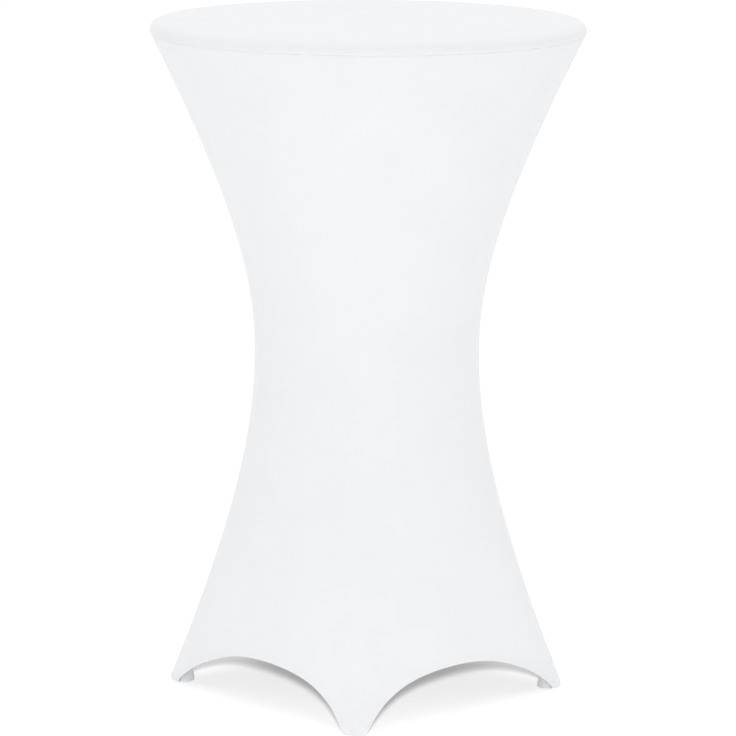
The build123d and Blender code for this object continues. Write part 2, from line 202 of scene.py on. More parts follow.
# the skirt leaves the bullnosed rim along its tangent
noseDrop = cover["noseHeight"] - cover["rimSeam"]
leaveAngle = math.asin(noseDrop / cover["noseSkin"])
seamRadius = cover["boardRadius"] + cover["noseSkin"] * math.cos(leaveAngle)
upperFlare = (math.sqrt(seamRadius ** 2 - cover["waistRadius"] ** 2)
              / (cover["rimSeam"] - cover["waistHeight"]))
ridgeFlare = (math.sqrt(cover["toeRadius"] ** 2 - cover["waistRadius"] ** 2)
              / (cover["waistHeight"] - cover["toeHeight"]))


def flared(height, flare):
    return math.hypot(cover["waistRadius"], flare * (height - cover["waistHeight"]))


def ridgeShare(angle, height):
    # 1 on a ridge above a foot, 0 half way between two feet
    p = cover["cornerSharpness"] * math.exp(-height / cover["cornerFade"])

    def peak(c):
        return (1 - p * p) / (1 - 2 * p * c + p * p)

    return (peak(math.cos(4 * angle * degree)) - peak(-1)) / (peak(1) - peak(-1))


def coverRadius(angle, height):
    # the cloth's outer face, at an angle in degrees and a height
    if height >= cover["waistHeight"]:
        return flared(height, upperFlare)
    valley = flared(height, cover["valleyFlare"])
    radius = valley + (flared(height, ridgeFlare) - valley) * ridgeShare(angle, height)
    drop = cover["toeHeight"] - height
    if drop > 0:
        radius -= cover["toeRounding"] - math.sqrt(cover["toeRounding"] ** 2 - drop ** 2)
    return radius


def coverPoint(angle, height):
    radius = coverRadius(angle, height)
    return Vector((radius * math.cos(angle * degree), radius * math.sin(angle * degree), height))


def coverNormal(angle, height):
    step, rise = 0.05, 0.3 * mm
    around = coverPoint(angle + step, height) - coverPoint(angle - step, height)
    upwards = coverPoint(angle, height + rise) - coverPoint(angle, max(height - rise, 0))
    return around.cross(upwards).normalized()


def archPoint(turn, lift=0.0):
    # on a hem arch, or a line beside it: distance from its middle, and height
    crown = cover["archHeight"] - cover["archSpring"] + lift
    aside = (cover["archHalfWidth"] + lift) * math.sin(turn)
    return aside, cover["archSpring"] + crown * max(math.cos(turn), 0) ** cover["archFullness"]


def archAngle(middle, aside, height):
    # the angle at which the cover's surface stands that far from an arch's middle, by halving
    low, high = 0.0, 45.0
    for _ in range(40):
        offset = (low + high) / 2
        if coverRadius(middle + offset, height) * math.sin(offset * degree) < abs(aside):
            low = offset
        else:
            high = offset
    return middle + math.copysign(offset, aside)


def turnAtHeight(height):
    share = (height - cover["archSpring"]) / (cover["archHeight"] - cover["archSpring"])
    return math.acos(share ** (1 / cover["archFullness"]))


def clothShell(name, columns, normals, depths, material, cut, closed=False):
    # Gives a grid of points its thickness and rounded edges. Column i runs up the cover, the
    # columns run round it, and cut holds each point's place on the flat cloth, in metres.
    count, height = len(columns), len(columns[0])
    inner = [[p - n * d for p, n, d in zip(*line)] for line in zip(columns, normals, depths)]
    vertices, directions, places = [], [], []

    def put(point, direction, place):
        vertices.append(point)
        directions.append(direction.normalized())
        places.append(place)
        return len(vertices) - 1

    grid = [(i, j) for i in range(count) for j in range(height)]
    outerId = {(i, j): put(columns[i][j], normals[i][j], cut[i][j]) for i, j in grid}
    innerId = {(i, j): put(inner[i][j], -normals[i][j], cut[i][j]) for i, j in grid}
    faces = []
    for i in range(count if closed else count - 1):
        k = (i + 1) % count
        for j in range(height - 1):
            faces.append((outerId[i, j], outerId[k, j], outerId[k, j + 1], outerId[i, j + 1]))
            faces.append((innerId[i, j], innerId[i, j + 1], innerId[k, j + 1], innerId[k, j]))
    if closed:
        borders = [[(i, 0) for i in range(count)],
                   [(i, height - 1) for i in reversed(range(count))]]
    else:
        borders = [[(i, 0) for i in range(count - 1)] + [(count - 1, j) for j in range(height - 1)]
                   + [(i, height - 1) for i in range(count - 1, 0, -1)]
                   + [(0, j) for j in range(height - 1, 0, -1)]]
    for border in borders:
        rings = []
        for i, j in border:
            di = 0 if closed else (i == 0) - (i == count - 1)
            dj = (j == 0) - (j == height - 1)
            away = (columns[i][j] - columns[i + di][j + dj]).normalized()
            ring = [outerId[i, j]]
            for quarter in (45, 90, 135):
                turn = quarter * degree
                lean = normals[i][j] * math.cos(turn) + away * math.sin(turn)
                middle = (columns[i][j] + inner[i][j]) / 2
                ring.append(put(middle + lean * depths[i][j] / 2, lean, cut[i][j]))
            rings.append(ring + [innerId[i, j]])
        for here, there in zip(rings, rings[1:] + rings[:1]):
            for a in range(4):
                faces.append((here[a], here[a + 1], there[a + 1], there[a]))
    mesh = bpy.data.meshes.new(name)
    mesh.from_pydata(vertices, [], faces)
    layer = mesh.uv_layers.new(name="cut")
    for loop in mesh.loops:
        layer.data[loop.index].uv = places[loop.vertex_index]
    mesh.polygons.foreach_set("use_smooth", [True] * len(mesh.polygons))
    mesh.normals_split_custom_set_from_vertices(directions)
    return addObject(name, mesh, material)


def nodeGroup(name, sizes):
    # an empty Geometry Nodes tree with named inputs, and the nodes at its two ends
    tree = bpy.data.node_groups.new(name, "GeometryNodeTree")
    tree.interface.new_socket("Geometry", in_out="INPUT", socket_type="NodeSocketGeometry")
    for label, kind in sizes.items():
        tree.interface.new_socket(label, in_out="INPUT", socket_type=f"NodeSocket{kind}")
    tree.interface.new_socket("Geometry", in_out="OUTPUT", socket_type="NodeSocketGeometry")
    return tree, addNode(tree, "NodeGroupInput").outputs


def finishGroup(tree, geometry, material):
    solid = addNode(tree, "GeometryNodeRealizeInstances", inputs={"Geometry": geometry})
    painted = addNode(tree, "GeometryNodeSetMaterial", inputs={
        "Geometry": solid.outputs[0], "Material": material})
    addNode(tree, "NodeGroupOutput", inputs={"Geometry": painted.outputs[0]})


def runGroup(name, start, tree, values):
    # runs the tree on a start mesh and keeps the result as a plain mesh
    worker = addObject(name + ".worker", start)
    modifier = worker.modifiers.new("nodes", "NODES")
    modifier.node_group = tree
    for item in tree.interface.items_tree:
        if item.in_out == "INPUT" and item.name in values:
            modifier[item.identifier] = values[item.name]
    seen = worker.evaluated_get(bpy.context.evaluated_depsgraph_get())
    mesh = bpy.data.meshes.new_from_object(seen, preserve_all_data_layers=True,
                                           depsgraph=bpy.context.evaluated_depsgraph_get())
    bpy.data.objects.remove(worker)
    return addObject(name, mesh)


knit = {
    "colour": "#E8E9EA",
    "shade": "#E4E5E7",
    "waleSpacing": 1.4 * mm,  # a real wale is about 0.35 mm, too fine to show
    "courseSpacing": 1.1 * mm,
    "relief": 0.05,
    "roughness": (0.62, 0.78),
}


def knitMaterial(name, settings):
    # warp-knitted polyester and elastane, dyed white and stretched: smooth and matt, with faint
    # upright ribs of loops and a little fuzz that catches light at grazing angles
    material, tree = newMaterial(name)
    cutMap = addNode(tree, "ShaderNodeUVMap", {"uv_map": "cut"})
    scaled = addNode(tree, "ShaderNodeMapping", inputs={
        "Vector": cutMap.outputs[0],
        "Scale": (1 / settings["waleSpacing"], 1 / settings["courseSpacing"], 1.0)})
    apart = addNode(tree, "ShaderNodeSeparateXYZ", inputs={0: scaled.outputs[0]})
    across = addNode(tree, "ShaderNodeMath", {"operation": "MULTIPLY"},
                     {0: apart.outputs[0], 1: math.pi})
    ribs = addNode(tree, "ShaderNodeMath", {"operation": "SINE"}, {0: across.outputs[0]})
    ribs = addNode(tree, "ShaderNodeMath", {"operation": "ABSOLUTE"}, {0: ribs.outputs[0]})
    # the loops lean, so the courses zigzag across the wales
    lean = addNode(tree, "ShaderNodeMath", {"operation": "MULTIPLY_ADD"},
                   {0: ribs.outputs[0], 1: 0.45, 2: apart.outputs[1]})
    along = addNode(tree, "ShaderNodeMath", {"operation": "MULTIPLY"},
                    {0: lean.outputs[0], 1: 2 * math.pi})
    courses = addNode(tree, "ShaderNodeMath", {"operation": "SINE"}, {0: along.outputs[0]})
    loops = addNode(tree, "ShaderNodeMath", {"operation": "MULTIPLY_ADD"},
                    {0: courses.outputs[0], 1: 0.35, 2: ribs.outputs[0]})
    spot = objectPlace(tree)
    fuzz = noise(tree, spot, 0.8 * mm, 3.0, Roughness=0.6)
    surface = addNode(tree, "ShaderNodeMath", {"operation": "MULTIPLY_ADD"},
                      {0: fuzz, 1: 0.5, 2: loops.outputs[0]})
    cloud = noise(tree, spot, 90 * mm, 2.0)
    rough = addNode(tree, "ShaderNodeMapRange", inputs={
        "Value": fuzz, "To Min": settings["roughness"][0], "To Max": settings["roughness"][1]})
    shader = addNode(tree, "ShaderNodeBsdfPrincipled", inputs={
        "Base Color": tinted(tree, cloud, settings["colour"], settings["shade"]),
        "Roughness": rough.outputs[0], "Specular IOR Level": 0.3,
        "Normal": bumped(tree, surface.outputs[0], settings["relief"], 0.3 * mm),
        "Sheen Weight": 0.25, "Sheen Roughness": 0.5})
    finishMaterial(tree, shader)
    return material


coverKnit = knitMaterial("whiteElastaneKnit", knit)
# plain woven tape is flatter and closer than the knit
tapeWeave = knitMaterial("whiteTwillTape", {
    **knit, "colour": "#EEEEEF", "shade": "#E8E8EA", "waleSpacing": 0.8 * mm,
    "courseSpacing": 0.8 * mm, "relief": 0.12})
# the pocket's cups are doubled cloth, a little felted from standing on the floor
cupCloth = knitMaterial("whiteFeltedKnit", {
    **knit, "relief": 0.1, "roughness": (0.75, 0.9)})


def threadMaterial():
    # spun polyester thread: white, twisted, with a soft satin shine
    material, tree = newMaterial("whitePolyesterThread")
    twist = addNode(tree, "ShaderNodeTexWave",
                    {"wave_type": "BANDS", "bands_direction": "DIAGONAL"},
                    {"Vector": objectPlace(tree), "Scale": 1 / (3 * mm), "Distortion": 1.0})
    shader = addNode(tree, "ShaderNodeBsdfPrincipled", inputs={
        "Base Color": linear("#F3F3F4"), "Roughness": 0.45, "Sheen Weight": 0.15,
        "Normal": bumped(tree, twist.outputs["Fac"], 0.3, 0.05 * mm)})
    finishMaterial(tree, shader)
    return material


thread = threadMaterial()
print("stage: cloth materials")

skirt = {
    "seamColumns": 9,  # over half of a pocket's upper edge
    "archColumns": 57,
    "edgeRows": (0, 0.5, 1.2, 2.2, 3.5, 5.5, 8, 10, 11, 12, 13, 14.5, 17, 21, 27, 35),  # mm
    "rows": 88,
    "rimRows": (3, 1.5, 0.5),  # mm below the rim's seam
    "waleRadius": 0.25,  # where the wales have their true spacing; they close up at the waist
    "sideRows": (0.12, 0.3, 0.6),  # degrees from a side seam
}


def lowerEdge(middle):
    # along the panel's lower edge between two feet: angle, height, and 1 where it is a hem
    turn = turnAtHeight(cover["pocketTop"])
    corner = archAngle(middle, archPoint(turn)[0], cover["pocketTop"])
    left = spaced(middle - 45, 2 * middle - corner, skirt["seamColumns"])
    edge = [(angle, cover["pocketTop"], 0.0) for angle in left[:-1]]
    for t in spaced(-turn, turn, skirt["archColumns"]):
        aside, height = archPoint(t)
        edge.append((archAngle(middle, aside, height), height, 1.0))
    return edge + [(2 * middle - angle, cover["pocketTop"], 0.0) for angle in reversed(left[:-1])]


def skirtPanel(name, first, last):
    seamTurn = cover["seamGap"] / 2 / cover["waistRadius"] / degree
    inset = (seamTurn,) + skirt["sideRows"]
    edge = [(first + turn, cover["pocketTop"], 0.0) for turn in inset]
    edge += lowerEdge(first + 45)[1:] + lowerEdge(last - 45)[1:-1]
    edge += [(last - turn, cover["pocketTop"], 0.0) for turn in reversed(inset)]
    side = len(inset)
    span = len(edge) - 2 * side + 1
    rim = cover["rimSeam"] - cover["seamGap"]
    columns, normals, depths, cut = [], [], [], []
    for i, (angle, height, hem) in enumerate(edge):
        topAngle = angle
        if side <= i < len(edge) - side:
            topAngle = mix(edge[side - 1][0], edge[-side][0], (i - side + 1) / span)
        heights = [height + rise * mm for rise in skirt["edgeRows"]]
        rimHeights = [rim - drop * mm for drop in skirt["rimRows"]]
        heights += spaced(heights[-1], rimHeights[0], skirt["rows"])[1:]
        heights += rimHeights[1:] + [rim]
        lines = ([], [], [], [])
        for z in heights:
            rise = z - height
            here = mix(angle, topAngle, smoothStep(0, 1, (rise / (rim - height)) ** 0.8))
            normal = coverNormal(here, z)
            width = cover["hemWidth"]
            fold = hem * (1 - smoothStep(width - 1 * mm, width + 1 * mm, rise))
            proud = cover["hemProud"] * fold
            toSeam = min(here - first, last - here) * degree * coverRadius(here, z)
            for gap in (toSeam, rim - z):
                proud -= cover["seamGroove"] * (1 - smoothStep(0, cover["seamReach"], gap))
            if not hem:
                proud -= cover["seamGroove"] / 3 * (1 - smoothStep(0, cover["seamReach"], rise))
            lines[0].append(coverPoint(here, z) + normal * proud)
            lines[1].append(normal)
            lines[2].append(cover["thickness"] + cover["hemFold"] * fold)
            lines[3].append((here * degree * skirt["waleRadius"], z))
        for kept, line in zip((columns, normals, depths, cut), lines):
            kept.append(line)
    return clothShell(name, columns, normals, depths, coverKnit, cut)


skirtFront = skirtPanel("skirtFront", -180, 0)
skirtBack = skirtPanel("skirtBack", 0, 180)
print("stage: skirt panels")

topPanel = {"segments": 240, "rings": 91, "discShare": 0.62, "meetingPoint": 0.01 * mm}


def topPanelTree():
    # A closed outline, from the middle out over the rim and back inside, turned about the axis.
    # A grid's first direction is the turn and its second one runs along the outline.
    sizes = {"Board Radius": "Float", "Nose Height": "Float", "Nose Skin": "Float",
             "Leave Angle": "Float", "Thickness": "Float", "Seam Groove": "Float",
             "Seam Reach": "Float", "Segments": "Int", "Rings": "Int", "Disc Share": "Float",
             "Material": "Material"}
    tree, given = nodeGroup("turnedTopPanel", sizes)

    def maths(operation, a, b=0.0, c=0.0):
        values = {0: a, 1: b, 2: c}
        return addNode(tree, "ShaderNodeMath", {"operation": operation}, values).outputs[0]

    columns = maths("ADD", given["Segments"], 1)
    grid = addNode(tree, "GeometryNodeMeshGrid", inputs={
        "Size X": 1.0, "Size Y": 1.0, "Vertices X": columns, "Vertices Y": given["Rings"]})
    place = addNode(tree, "GeometryNodeInputPosition")
    apart = addNode(tree, "ShaderNodeSeparateXYZ", inputs={0: place.outputs[0]})
    turn = maths("MULTIPLY", apart.outputs[0], 2 * math.pi)
    out = maths("SUBTRACT", 1.0, maths("ABSOLUTE", maths("MULTIPLY", apart.outputs[1], 2.0)))
    flat = maths("MULTIPLY", maths("MINIMUM", maths("DIVIDE", out, given["Disc Share"]), 1.0),
                 given["Board Radius"])
    bend = maths("DIVIDE", maths("SUBTRACT", out, given["Disc Share"]),
                 maths("SUBTRACT", 1.0, given["Disc Share"]))
    bend = maths("MULTIPLY", maths("MAXIMUM", bend, 0.0),
                 maths("ADD", given["Leave Angle"], math.pi / 2))
    inside = addNode(tree, "ShaderNodeMapRange", inputs={
        "Value": apart.outputs[1], "From Min": -0.004, "From Max": 0.004})
    depth = maths("MULTIPLY", inside.outputs[0], given["Thickness"])
    wholeBend = maths("ADD", given["Leave Angle"], math.pi / 2)
    left = maths("MULTIPLY", maths("SUBTRACT", wholeBend, bend), given["Nose Skin"])
    groove = addNode(tree, "ShaderNodeMapRange", {"interpolation_type": "SMOOTHSTEP"}, {
        "Value": left, "From Min": 0.0, "From Max": given["Seam Reach"],
        "To Min": given["Seam Groove"], "To Max": 0.0})
    skin = maths("SUBTRACT", maths("SUBTRACT", given["Nose Skin"], depth), groove.outputs[0])
    radius = maths("MULTIPLY_ADD", skin, maths("SINE", bend), flat)
    height = maths("MULTIPLY_ADD", skin, maths("COSINE", bend), given["Nose Height"])
    arc = maths("MULTIPLY_ADD", bend, given["Nose Skin"], flat)
    onCloth = addNode(tree, "ShaderNodeCombineXYZ", inputs={
        "X": maths("MULTIPLY", arc, maths("COSINE", turn)),
        "Y": maths("MULTIPLY", arc, maths("SINE", turn))})
    cutMap = addNode(tree, "GeometryNodeStoreNamedAttribute",
                     {"data_type": "FLOAT2", "domain": "CORNER"},
                     {"Geometry": grid.outputs["Mesh"], "Name": "cut", "Value": onCloth.outputs[0]})
    at = addNode(tree, "ShaderNodeCombineXYZ", inputs={
        "X": maths("MULTIPLY", radius, maths("COSINE", turn)),
        "Y": maths("MULTIPLY", radius, maths("SINE", turn)), "Z": height})
    shaped = addNode(tree, "GeometryNodeSetPosition", inputs={
        "Geometry": cutMap.outputs[0], "Position": at.outputs[0]})
    whole = addNode(tree, "GeometryNodeMergeByDistance", inputs={
        "Geometry": shaped.outputs[0], "Distance": topPanel["meetingPoint"]})
    outwards = addNode(tree, "GeometryNodeFlipFaces", inputs={"Mesh": whole.outputs[0]})
    smooth = addNode(tree, "GeometryNodeSetShadeSmooth", inputs={"Geometry": outwards.outputs[0]})
    finishGroup(tree, smooth.outputs[0], given["Material"])
    return tree


coverTop = runGroup("coverTop", bpy.data.meshes.new("start"), topPanelTree(), {
    "Board Radius": cover["boardRadius"], "Nose Height": cover["noseHeight"],
    "Nose Skin": cover["noseSkin"], "Leave Angle": leaveAngle, "Thickness": cover["thickness"],
    "Seam Groove": cover["seamGroove"], "Seam Reach": cover["seamReach"],
    "Segments": topPanel["segments"], "Rings": topPanel["rings"],
    "Disc Share": topPanel["discShare"], "Material": coverKnit})
print("stage: top panel")

pocket = {"columns": 21, "topRows": (0, 0.4, 1.0, 2.0, 3.2), "rows": 40, "foot": 0.2 * mm}


def footPocket(foot):
    middle = feet[foot]
    top = cover["pocketTop"] - cover["seamGap"]
    heights = [top - drop * mm for drop in pocket["topRows"]]
    heights += spaced(heights[-1], pocket["foot"], pocket["rows"])[1:]
    heights.reverse()
    columns, normals, depths, cut = [], [], [], []
    for share in spaced(-1, 1, pocket["columns"]):
        lines = ([], [], [], [])
        for z in heights:
            half = 90 - archAngle(45, archPoint(turnAtHeight(z))[0], z)
            here = middle + half * share
            normal = coverNormal(here, z)
            toEdge = (1 - abs(share)) * half * degree * coverRadius(here, z)
            proud = cover["hemProud"] * (1 - smoothStep(0.6, 0.8, toEdge / cover["hemWidth"]))
            proud *= smoothStep(0, 30 * mm, z)
            proud -= cover["seamGroove"] / 3 * (1 - smoothStep(0, cover["seamReach"], top - z))
            lines[0].append(coverPoint(here, z) + normal * proud)
            lines[1].append(normal)
            lines[2].append(2 * cover["thickness"])
            lines[3].append((here * degree * skirt["waleRadius"], z))
        for kept, line in zip((columns, normals, depths, cut), lines):
            kept.append(line)
    return clothShell(f"footPocket.{foot}", columns, normals, depths, coverKnit, cut)


pockets = {foot: footPocket(foot) for foot in feet}
print("stage: foot pockets")

cup = {
    "wall": 1.2 * mm,
    "toeTurn": 3.2,  # degrees each side of the foot over which the cup follows the toe
    "toeGap": 0.6 * mm,  # to the pocket's inside
    "padGap": 0.4 * mm,  # to the glide's pad, at the back
    "sole": ((4.0, 0.0), (1.6, 0.0), (0.75, 0.25), (0.2, 0.8)),  # mm in from the outline, and up
    "wallFoot": 1.6 * mm,
    "wallRows": 12,
    "innerFoot": 2.4 * mm,
    "innerRows": 10,
    "innerFloor": 1.75 * mm,
    "top": 26 * mm,  # up to just under the arm, so that nothing inside shows
    "lean": 3.2 * mm,  # the wall is drawn in this much on its way up
    "points": 64,
    "gather": 1.0 * mm,  # how far its elastic edge is drawn in
    "gatherRise": 1.0 * mm,
    "pleats": 15,
    "pleatDepth": 0.35 * mm,
    "pleatsFrom": 0.7,  # share of the height
}


def insidePocket(angle, height):
    return coverRadius(angle, height) - 2 * cover["thickness"] - cup["toeGap"]


def cupOutline():
    # closed outline of the cup on +X: the toe's inside curve, and half an ellipse behind the pad
    back = (padHigh.x - padLow.x) / 2 + cup["wall"] + cup["padGap"]
    axis = (padHigh.x + padLow.x) / 2
    side = cupHigh.y
    points = []
    for turn in spaced(-cup["toeTurn"], cup["toeTurn"], 17):
        toe = insidePocket(turn, pocket["foot"])
        points.append(Vector((toe * math.cos(turn * degree), toe * math.sin(turn * degree), 0)))
    for turn in spaced(90, 270, 33):
        x, y = axis + back * math.cos(turn * degree), side * math.sin(turn * degree)
        points.append(Vector((x, y, 0)))
    return evenLoop(points, cup["points"])


def evenLoop(points, count):
    # the same closed line with evenly spaced points
    ends = points[1:] + points[:1]
    lengths = [(b - a).length for a, b in zip(points, ends)]
    step, made, walked = sum(lengths) / count, [], 0.0
    for a, b, length in zip(points, ends, lengths):
        while len(made) < count and len(made) * step < walked + length:
            made.append(a.lerp(b, (len(made) * step - walked) / length))
        walked += length
    return made


def ringMesh(name, rings, bottom, top, material):
    # closes a stack of rings with a point below and a point above
    count = len(rings[0])
    vertices = [p for ring in rings for p in ring] + [bottom, top]
    faces = []
    for level in range(len(rings) - 1):
        for k in range(count):
            m = (k + 1) % count
            a, b = level * count, (level + 1) * count
            faces.append((a + k, a + m, b + m, b + k))
    last = (len(rings) - 1) * count
    for k in range(count):
        m = (k + 1) % count
        faces.append((m, k, len(vertices) - 2))
        faces.append((last + k, last + m, len(vertices) - 1))
    mesh = bpy.data.meshes.new(name)
    mesh.from_pydata(vertices, [], faces)
    layer = mesh.uv_layers.new(name="cut")
    for loop in mesh.loops:
        spot = vertices[loop.vertex_index]
        layer.data[loop.index].uv = (spot.x + spot.z * 0.7, spot.y + spot.z * 0.3)
    mesh.polygons.foreach_set("use_smooth", [True] * len(mesh.polygons))
    return addObject(name, mesh, material)


def pocketCup(foot):
    outline = cupOutline()
    centre = sum(outline, Vector()) / len(outline)
    wall, top, lean = cup["wall"], cup["top"], cup["lean"]
    # distance in from the outline, and height: under the foot, up the wall, over its edge and back
    profile = [(inset * mm, height * mm) for inset, height in cup["sole"]]
    profile += [(lean * smoothStep(0, top, z), z)
                for z in spaced(cup["wallFoot"], top, cup["wallRows"])]
    edge = lean + cup["gather"]
    profile += [(edge, top + cup["gatherRise"]), (edge + wall, top + cup["gatherRise"] * 0.7)]
    outerLevels = len(profile)
    profile += [(wall + lean * smoothStep(0, top, z), z)
                for z in spaced(top - 1 * mm, cup["innerFoot"], cup["innerRows"])]
    profile += [(wall + 0.6 * mm, 1.8 * mm), (5 * mm, cup["innerFloor"])]
    pleatFoot = top * cup["pleatsFrom"]
    rings = []
    for level, (inset, height) in enumerate(profile):
        isInner = level >= outerLevels
        ring = []
        for k, point in enumerate(outline):
            inwards = centre - point
            pleat = 0.0
            if height > pleatFoot and not isInner:
                pleat = cup["pleatDepth"] * math.cos(2 * math.pi * cup["pleats"] * k / len(outline))
                pleat *= smoothStep(pleatFoot, top + cup["gatherRise"], height)
            place = point + inwards.normalized() * (inset + pleat)
            angle = math.atan2(place.y, place.x) / degree
            allowed = insidePocket(angle, max(height, pocket["foot"])) - (wall if isInner else 0)
            place *= min(1.0, allowed / place.length)
            ring.append(place + Vector((0, 0, height)))
        rings.append(ring)
    spin = Matrix.Rotation(feet[foot] * degree, 3, "Z")
    rings = [[spin @ p for p in ring] for ring in rings]
    middle = spin @ centre
    inside = middle + Vector((0, 0, cup["innerFloor"]))
    return ringMesh(f"pocketCup.{foot}", rings, middle, inside, cupCloth)


cups = {foot: pocketCup(foot) for foot in feet}
print("stage: pocket cups")


tape = {
    "ringColumns": 180,
    "ringRows": 5,
    "allowance": 7 * mm,  # each side of a seam
    "allowanceColumns": 9,
    "allowanceRows": 110,
}


def rimTapeRing():
    # woven tape that keeps the rim's seam from stretching, sewn in on the inside
    columns, normals, depths, cut = [], [], [], []
    for i in range(tape["ringColumns"]):
        angle = i * 360 / tape["ringColumns"]
        lines = ([], [], [], [])
        for z in spaced(tapeLow.z, tapeHigh.z, tape["ringRows"]):
            normal = coverNormal(angle, z)
            lines[0].append(coverPoint(angle, z) - normal * cover["underLayer"])
            lines[1].append(normal)
            lines[2].append(cover["thickness"])
            lines[3].append((angle * degree * seamRadius, z))
        for kept, line in zip((columns, normals, depths, cut), lines):
            kept.append(line)
    return clothShell("rimTape", columns, normals, depths, tapeWeave, cut, closed=True)


def seamAllowance(side):
    # both panels' edges, pressed open inside the side seam
    columns, normals, depths, cut = [], [], [], []
    reach = tape["allowance"]
    for offset in spaced(-reach, reach, tape["allowanceColumns"]):
        lines = ([], [], [], [])
        for z in spaced(seamLow.z, seamHigh.z, tape["allowanceRows"]):
            angle = feet[side] + offset / coverRadius(feet[side], z) / degree
            normal = coverNormal(angle, z)
            lines[0].append(coverPoint(angle, z) - normal * cover["underLayer"])
            lines[1].append(normal)
            lines[2].append(cover["thickness"])
            lines[3].append((offset, z))
        for kept, line in zip((columns, normals, depths, cut), lines):
            kept.append(line)
    return clothShell(f"seamAllowance.{side}", columns, normals, depths, tapeWeave, cut)


rimTape = rimTapeRing()
allowances = {side: seamAllowance(side) for side in ("left", "right")}
print("stage: tapes")

stitch = {
    "spacing": 3.2 * mm,
    "length": 2.6 * mm,
    "width": 0.5 * mm,  # real thread is 0.3 mm thick, too fine to show
    "rows": (6.0 * mm, 9.5 * mm),  # above the hem's edge, sewn with a twin needle
    "pocketRow": 3.5 * mm,  # above the seam between skirt and pocket
    "pocketRowShare": 0.93,  # of the pocket's width that this row covers
    "sunk": 0.12 * mm,
    "seamClear": 2 * mm,  # hem rows stop this far from the pocket's seam
    "pocketLow": 14 * mm,  # where a pocket's rows end above the floor
    "footReach": 20,  # degrees; rows further off belong to another foot
}


def stitchTree():
    # one stitch, laid along a line at even steps, its flat side on the cloth
    tree, given = nodeGroup("stitchRow", {
        "Spacing": "Float", "Length": "Float", "Width": "Float", "Material": "Material"})
    line = addNode(tree, "GeometryNodeMeshToCurve", inputs={"Mesh": given["Geometry"]})
    steps = addNode(tree, "GeometryNodeResampleCurve", {"mode": "LENGTH"}, {
        "Curve": line.outputs[0], "Length": given["Spacing"]})
    outward = addNode(tree, "GeometryNodeInputNamedAttribute", {"data_type": "FLOAT_VECTOR"},
                      {"Name": "outward"})
    tangent = addNode(tree, "GeometryNodeInputTangent")
    upright = addNode(tree, "FunctionNodeAlignRotationToVector", {"axis": "Z"}, {
        "Vector": outward.outputs["Attribute"]})
    lying = addNode(tree, "FunctionNodeAlignRotationToVector", {"axis": "X", "pivot_axis": "Z"}, {
        "Rotation": upright.outputs[0], "Vector": tangent.outputs[0]})
    ball = addNode(tree, "GeometryNodeMeshUVSphere", inputs={
        "Segments": 6, "Rings": 4, "Radius": 0.5})
    size = addNode(tree, "ShaderNodeCombineXYZ", inputs={
        "X": given["Length"], "Y": given["Width"], "Z": given["Width"]})
    one = addNode(tree, "GeometryNodeTransform", inputs={
        "Geometry": ball.outputs["Mesh"], "Scale": size.outputs[0]})
    rounded = addNode(tree, "GeometryNodeSetShadeSmooth", inputs={"Geometry": one.outputs[0]})
    row = addNode(tree, "GeometryNodeInstanceOnPoints", inputs={
        "Points": steps.outputs[0], "Instance": rounded.outputs[0], "Rotation": lying.outputs[0]})
    finishGroup(tree, row.outputs[0], given["Material"])
    return tree


stitchRows = stitchTree()


def sewn(name, lines):
    # lines are lists of a point and its outward direction
    points, edges, outward = [], [], []
    for line in lines:
        for k, (point, direction) in enumerate(line):
            if k:
                edges.append((len(points) - 1, len(points)))
            points.append(point - direction * stitch["sunk"])
            outward.append(direction)
    mesh = bpy.data.meshes.new(name + ".path")
    mesh.from_pydata(points, edges, [])
    kept = mesh.attributes.new("outward", "FLOAT_VECTOR", "POINT")
    kept.data.foreach_set("vector", [c for direction in outward for c in direction])
    return runGroup(name, mesh, stitchRows, {
        "Spacing": stitch["spacing"], "Length": stitch["length"], "Width": stitch["width"],
        "Material": thread})


def beside(angle, height):
    normal = coverNormal(angle, height)
    proud = cover["hemProud"] + stitch["width"] / 2
    return coverPoint(angle, height) + normal * proud, normal


def hemLine(middle, lift, low, high):
    # the part of a stitch row beside an arch that lies between two heights, in one or two runs
    runs, run = [], []
    for turn in spaced(-math.pi / 2, math.pi / 2, 241):
        aside, height = archPoint(turn, lift)
        if low <= height <= high:
            run.append(beside(archAngle(middle, aside, height), height))
        elif run:
            runs.append(run)
            run = []
    return [r for r in runs + [run] if len(r) > 1]


def degreesFrom(middle, point):
    turn = point.xy.angle_signed(Vector((1, 0))) / degree - middle
    return abs((turn + 180) % 360 - 180)


split = cover["pocketTop"]
hemStitches = {}
for arch, middle in arches.items():
    lines = [line for lift in stitch["rows"]
             for line in hemLine(middle, lift, split + stitch["seamClear"], cover["top"])]
    hemStitches[arch] = sewn(f"hemStitches.{arch}", lines)
pocketStitches, pocketSeams = {}, {}
for foot, middle in feet.items():
    lines = []
    for side in (-1, 1):
        for lift in stitch["rows"]:
            runs = hemLine(middle + 45 * side, lift, stitch["pocketLow"],
                           split - stitch["seamClear"])
            lines += [run for run in runs if degreesFrom(middle, run[0][0]) < stitch["footReach"]]
    pocketStitches[foot] = sewn(f"pocketStitches.{foot}", lines)
    half = 90 - archAngle(45, archPoint(turnAtHeight(split))[0], split)
    reach = stitch["pocketRowShare"]
    row = [beside(middle + half * share, split + stitch["pocketRow"])
           for share in spaced(-reach, reach, 31)]
    pocketSeams[foot] = sewn(f"pocketSeam.{foot}", [row])
print("stage: stitches")

orangePeel = {"colour": "#D5D6D4", "dip": "#C9CAC8", "grain": 1.8 * mm}


